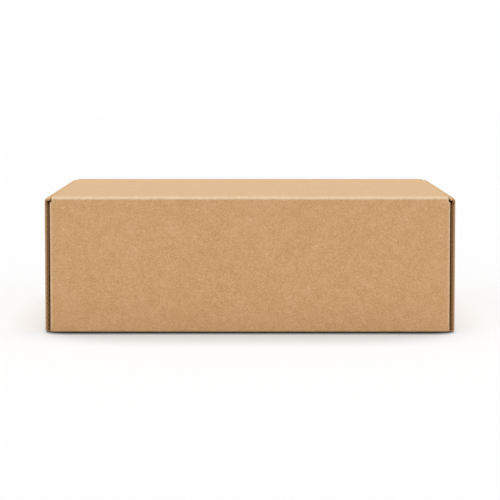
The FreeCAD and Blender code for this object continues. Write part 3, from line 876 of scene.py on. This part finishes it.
def lid_and_tuck_flap():
    """Lid's top from its fold to its free edge, and on down the tucked flap."""
    tip = TOP - TUCK_LENGTH
    tip_face = TUCK_FACE - TUCK_LEAN
    inner_corner = (TUCK_FACE - BOARD - TUCK_LEAN * BOARD / TUCK_LENGTH, LID_UNDERSIDE)
    lean = math.atan2(TUCK_LEAN, TUCK_LENGTH)
    reach = FOLD_RADIUS * math.tan((math.pi / 2 + lean) / 2)
    arc_start = (TUCK_FACE - reach, TOP)
    arc_stop = (TUCK_FACE - reach * math.sin(lean), TOP - reach * math.cos(lean))
    section = chain(
        run((STRIP_END, TOP), arc_start, (STRIP_END, LID_UNDERSIDE), inner_corner),
        bend((arc_start[0], TOP - FOLD_RADIUS), FOLD_RADIUS, 90, -math.degrees(lean),
             inner_corner),
        run(arc_stop, (tip_face, tip), inner_corner, (tip_face - BOARD, tip), step=2.0),
    )
    outer = section[0]
    fold_station = np.argmin(np.abs(outer[:, 0] - arc_start[0]) + np.abs(outer[:, 1] - TOP))
    flap = np.arange(len(outer)) > fold_station
    above_tip = np.clip(outer[:, 1] - tip, 0, TUCK_CORNER)
    cut = TUCK_CORNER - np.sqrt(TUCK_CORNER ** 2 - (TUCK_CORNER - above_tip) ** 2)
    half = np.where(flap, INNER_IN - TUCK_SIDE_GAP - cut, lid_half_at(outer[:, 0]))
    rounded = np.where(flap, 0.0, LID_EDGE_RADIUS)
    # The lid's side edges get a little pale wear and painted highlight
    panel = Panel("yz", section, -half, half, raw_path=(0, 1), side_radius=rounded,
                  side_wear_and_highlight=0.3, seed=5)
    skins = liners(panel, step=4.0)
    skins.append(medium_behind(panel, False, seed=37))
    return make_piece("lid_and_tuck_flap", skins)


def dust_flap(side, name):
    """Side flap of the lid, leaning in past the rolled top of the side wall."""
    tip = TOP - DUST_DROP
    tip_face = LID_HALF - DUST_LEAN
    root = LID_UNDERSIDE + BOARD / 3
    start = LID_HALF - DUST_LEAN * (TOP - root) / DUST_DROP - CLEARANCE
    section = run((start, root), (tip_face, tip), (start - BOARD, root),
                  (tip_face - BOARD, tip), step=2.5)
    drop = (LID_UNDERSIDE - section[0][:, 1]).clip(0) / (LID_UNDERSIDE - tip)
    low = -END_INSIDE + DUST_HINGE_GAP + DUST_TAPER * drop
    high = END_INSIDE - DUST_TUCK_GAP - DUST_TAPER * drop
    panel = Panel("xz", section, low, high, raw=(1, 1), seed=29, mirror=side)
    skins = liners(panel, step=6.0)
    for at_low in (True, False):
        skins.append(medium_beside(panel, at_low, 0.0, panel.along[-1], seed=41))
    return make_piece(name, skins)


# The pieces on their bodies

def settle(piece, body):
    """Let a piece ride on a body of the frame."""
    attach(piece, body)
    return piece


walls = settle(end_walls(), "tray")
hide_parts("tray")
settle(side_wall(1, "side_wall_right"), "tray")
settle(side_wall(-1, "side_wall_left"), "tray")
for side, side_name in ((1, "right"), (-1, "left")):
    for end, end_name in ((-1, "hinge"), (1, "tuck")):
        settle(ear(side, end, "ear_" + end_name + "_" + side_name), "tray")
        settle(lock_tab(side, end, "lock_tab_" + end_name + "_" + side_name), "tray")
lid_piece = settle(lid_and_tuck_flap(), "lid")
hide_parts("lid")
settle(dust_flap(1, "dust_flap_right"), "lid")
settle(dust_flap(-1, "dust_flap_left"), "lid")

# The strip round the fold reaches from the hinge wall over onto the lid
fold_piece = lid_fold()
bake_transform(fold_piece)


# Floor, surroundings, lamps and camera

def studio_paper():
    """White paper sweep: matt for all other rays, and nearly white where the camera sees it.

    In the photo the light comes from above and a little behind, so the contact shadow lies in
    front of the box: the occlusion looks towards the back. A short reach gives the dark line
    under the front edge, and a long one the soft shadow before it.
    """
    material = bpy.data.materials.new("white_studio_paper")
    tree = empty_tree(material)
    camera_ray = add_node(tree, "ShaderNodeLightPath").outputs["Is Camera Ray"]
    matt = add_node(tree, "ShaderNodeBsdfDiffuse", {"Color": linear_colour("#EFEFEF")})
    towards_back = add_node(tree, "ShaderNodeCombineXYZ", {"Y": 1.0}).outputs["Vector"]
    contact = add_node(tree, "ShaderNodeAmbientOcclusion",
                       {"Distance": CONTACT_REACH * MM, "Normal": towards_back}, samples=48)
    line = add_node(tree, "ShaderNodeMapRange",
                    {"Value": contact.outputs["AO"], "From Min": 0.5, "From Max": 0.78})
    wide = add_node(tree, "ShaderNodeAmbientOcclusion",
                    {"Distance": SOFT_SHADOW_REACH * MM, "Normal": towards_back}, samples=24)
    soft = add_node(tree, "ShaderNodeMapRange",
                    {"Value": wide.outputs["AO"], "From Min": 0.5, "From Max": 0.76,
                     "To Min": 0.75})
    dusk = add_node(tree, "ShaderNodeMath",
                    {0: line.outputs["Result"], 1: soft.outputs["Result"]},
                    operation="MULTIPLY").outputs["Value"]
    pale = add_node(tree, "ShaderNodeMix",
                    {"Factor": dusk, "A": linear_colour("#000000"),
                     "B": linear_colour("#BEBEBE")},
                    data_type="RGBA")
    seen = add_node(tree, "ShaderNodeBsdfDiffuse", {"Color": pale.outputs["Result"]})
    lift = add_node(tree, "ShaderNodeMath", {0: dusk, 1: FLOOR_LIFT}, operation="MULTIPLY")
    glow = add_node(tree, "ShaderNodeEmission",
                    {"Color": linear_colour("#FFFFFF"), "Strength": lift.outputs["Value"]})
    lit = add_node(tree, "ShaderNodeAddShader",
                   {0: seen.outputs["BSDF"], 1: glow.outputs["Emission"]})
    both = add_node(tree, "ShaderNodeMixShader",
                    {0: camera_ray, 1: matt.outputs["BSDF"], 2: lit.outputs["Shader"]})
    add_node(tree, "ShaderNodeOutputMaterial", {"Surface": both.outputs["Shader"]})
    return material


def lay_floor():
    """Large flat floor that the box stands on."""
    mesh = bpy.data.meshes.new("floor")
    half = FLOOR_HALF * MM
    mesh.from_pydata([(-half, -half, 0), (half, -half, 0), (half, half, 0), (-half, half, 0)],
                     [], [(0, 1, 2, 3)])
    mesh.materials.append(studio_paper())
    floor = bpy.data.objects.new("floor", mesh)
    bpy.context.scene.collection.objects.link(floor)


def surroundings():
    """Even white all round: at SKY for the light it gives, and full white where it is seen."""
    world = bpy.data.worlds.new("studio")
    bpy.context.scene.world = world
    tree = empty_tree(world)
    path = add_node(tree, "ShaderNodeLightPath")
    seen = add_node(tree, "ShaderNodeMath",
                    {0: path.outputs["Is Camera Ray"], 1: path.outputs["Is Glossy Ray"]},
                    operation="MAXIMUM")
    strength = add_node(tree, "ShaderNodeMapRange",
                        {"Value": seen.outputs["Value"], "To Min": SKY, "To Max": 1.0})
    back = add_node(tree, "ShaderNodeBackground",
                    {"Color": linear_colour("#FFFFFF"),
                     "Strength": strength.outputs["Result"]})
    add_node(tree, "ShaderNodeOutputWorld", {"Surface": back.outputs["Background"]})


def aim(item, target):
    """Turn an object's -Z towards a point."""
    heading = np.array(target, float) - np.array(item.location, float)
    flat = math.hypot(heading[0], heading[1])
    item.rotation_euler = (math.atan2(flat, -heading[2]), 0,
                           math.atan2(heading[1], heading[0]) - math.pi / 2)


def sun(name, comes_from, angle, power):
    """A wide soft lamp that lights everything from one direction."""
    data = bpy.data.lights.new(name, "SUN")
    data.angle = math.radians(angle)
    data.energy = power
    item = bpy.data.objects.new(name, data)
    bpy.context.scene.collection.objects.link(item)
    item.location = comes_from
    aim(item, (0, 0, 0))


def camera():
    """Long lens, a little above the box and square to its hinge wall."""
    data = bpy.data.cameras.new("camera")
    data.sensor_width = SENSOR_WIDTH
    data.lens = SENSOR_WIDTH * FOCAL_PX / PHOTO_SIDE_PX
    data.shift_y = SHIFT_Y
    data.clip_start = NEAREST_SEEN * MM
    data.clip_end = FARTHEST_SEEN * MM
    item = bpy.data.objects.new("camera", data)
    bpy.context.scene.collection.objects.link(item)
    item.location = (0, -(HALF_DEPTH + CAMERA_BEFORE_BOX) * MM, (TOP + CAMERA_ABOVE_BOX) * MM)
    item.rotation_euler = (math.pi / 2 - CAMERA_TILT, 0, 0)
    bpy.context.scene.camera = item


lay_floor()
surroundings()
sun("key", comes_from=(-0.15, -1.0, 0.6), angle=100, power=1.14)
sun("top", comes_from=(0.05, 0.2, 1.0), angle=40, power=1.55)
camera()

scene = bpy.context.scene
scene.view_settings.view_transform = "Standard"
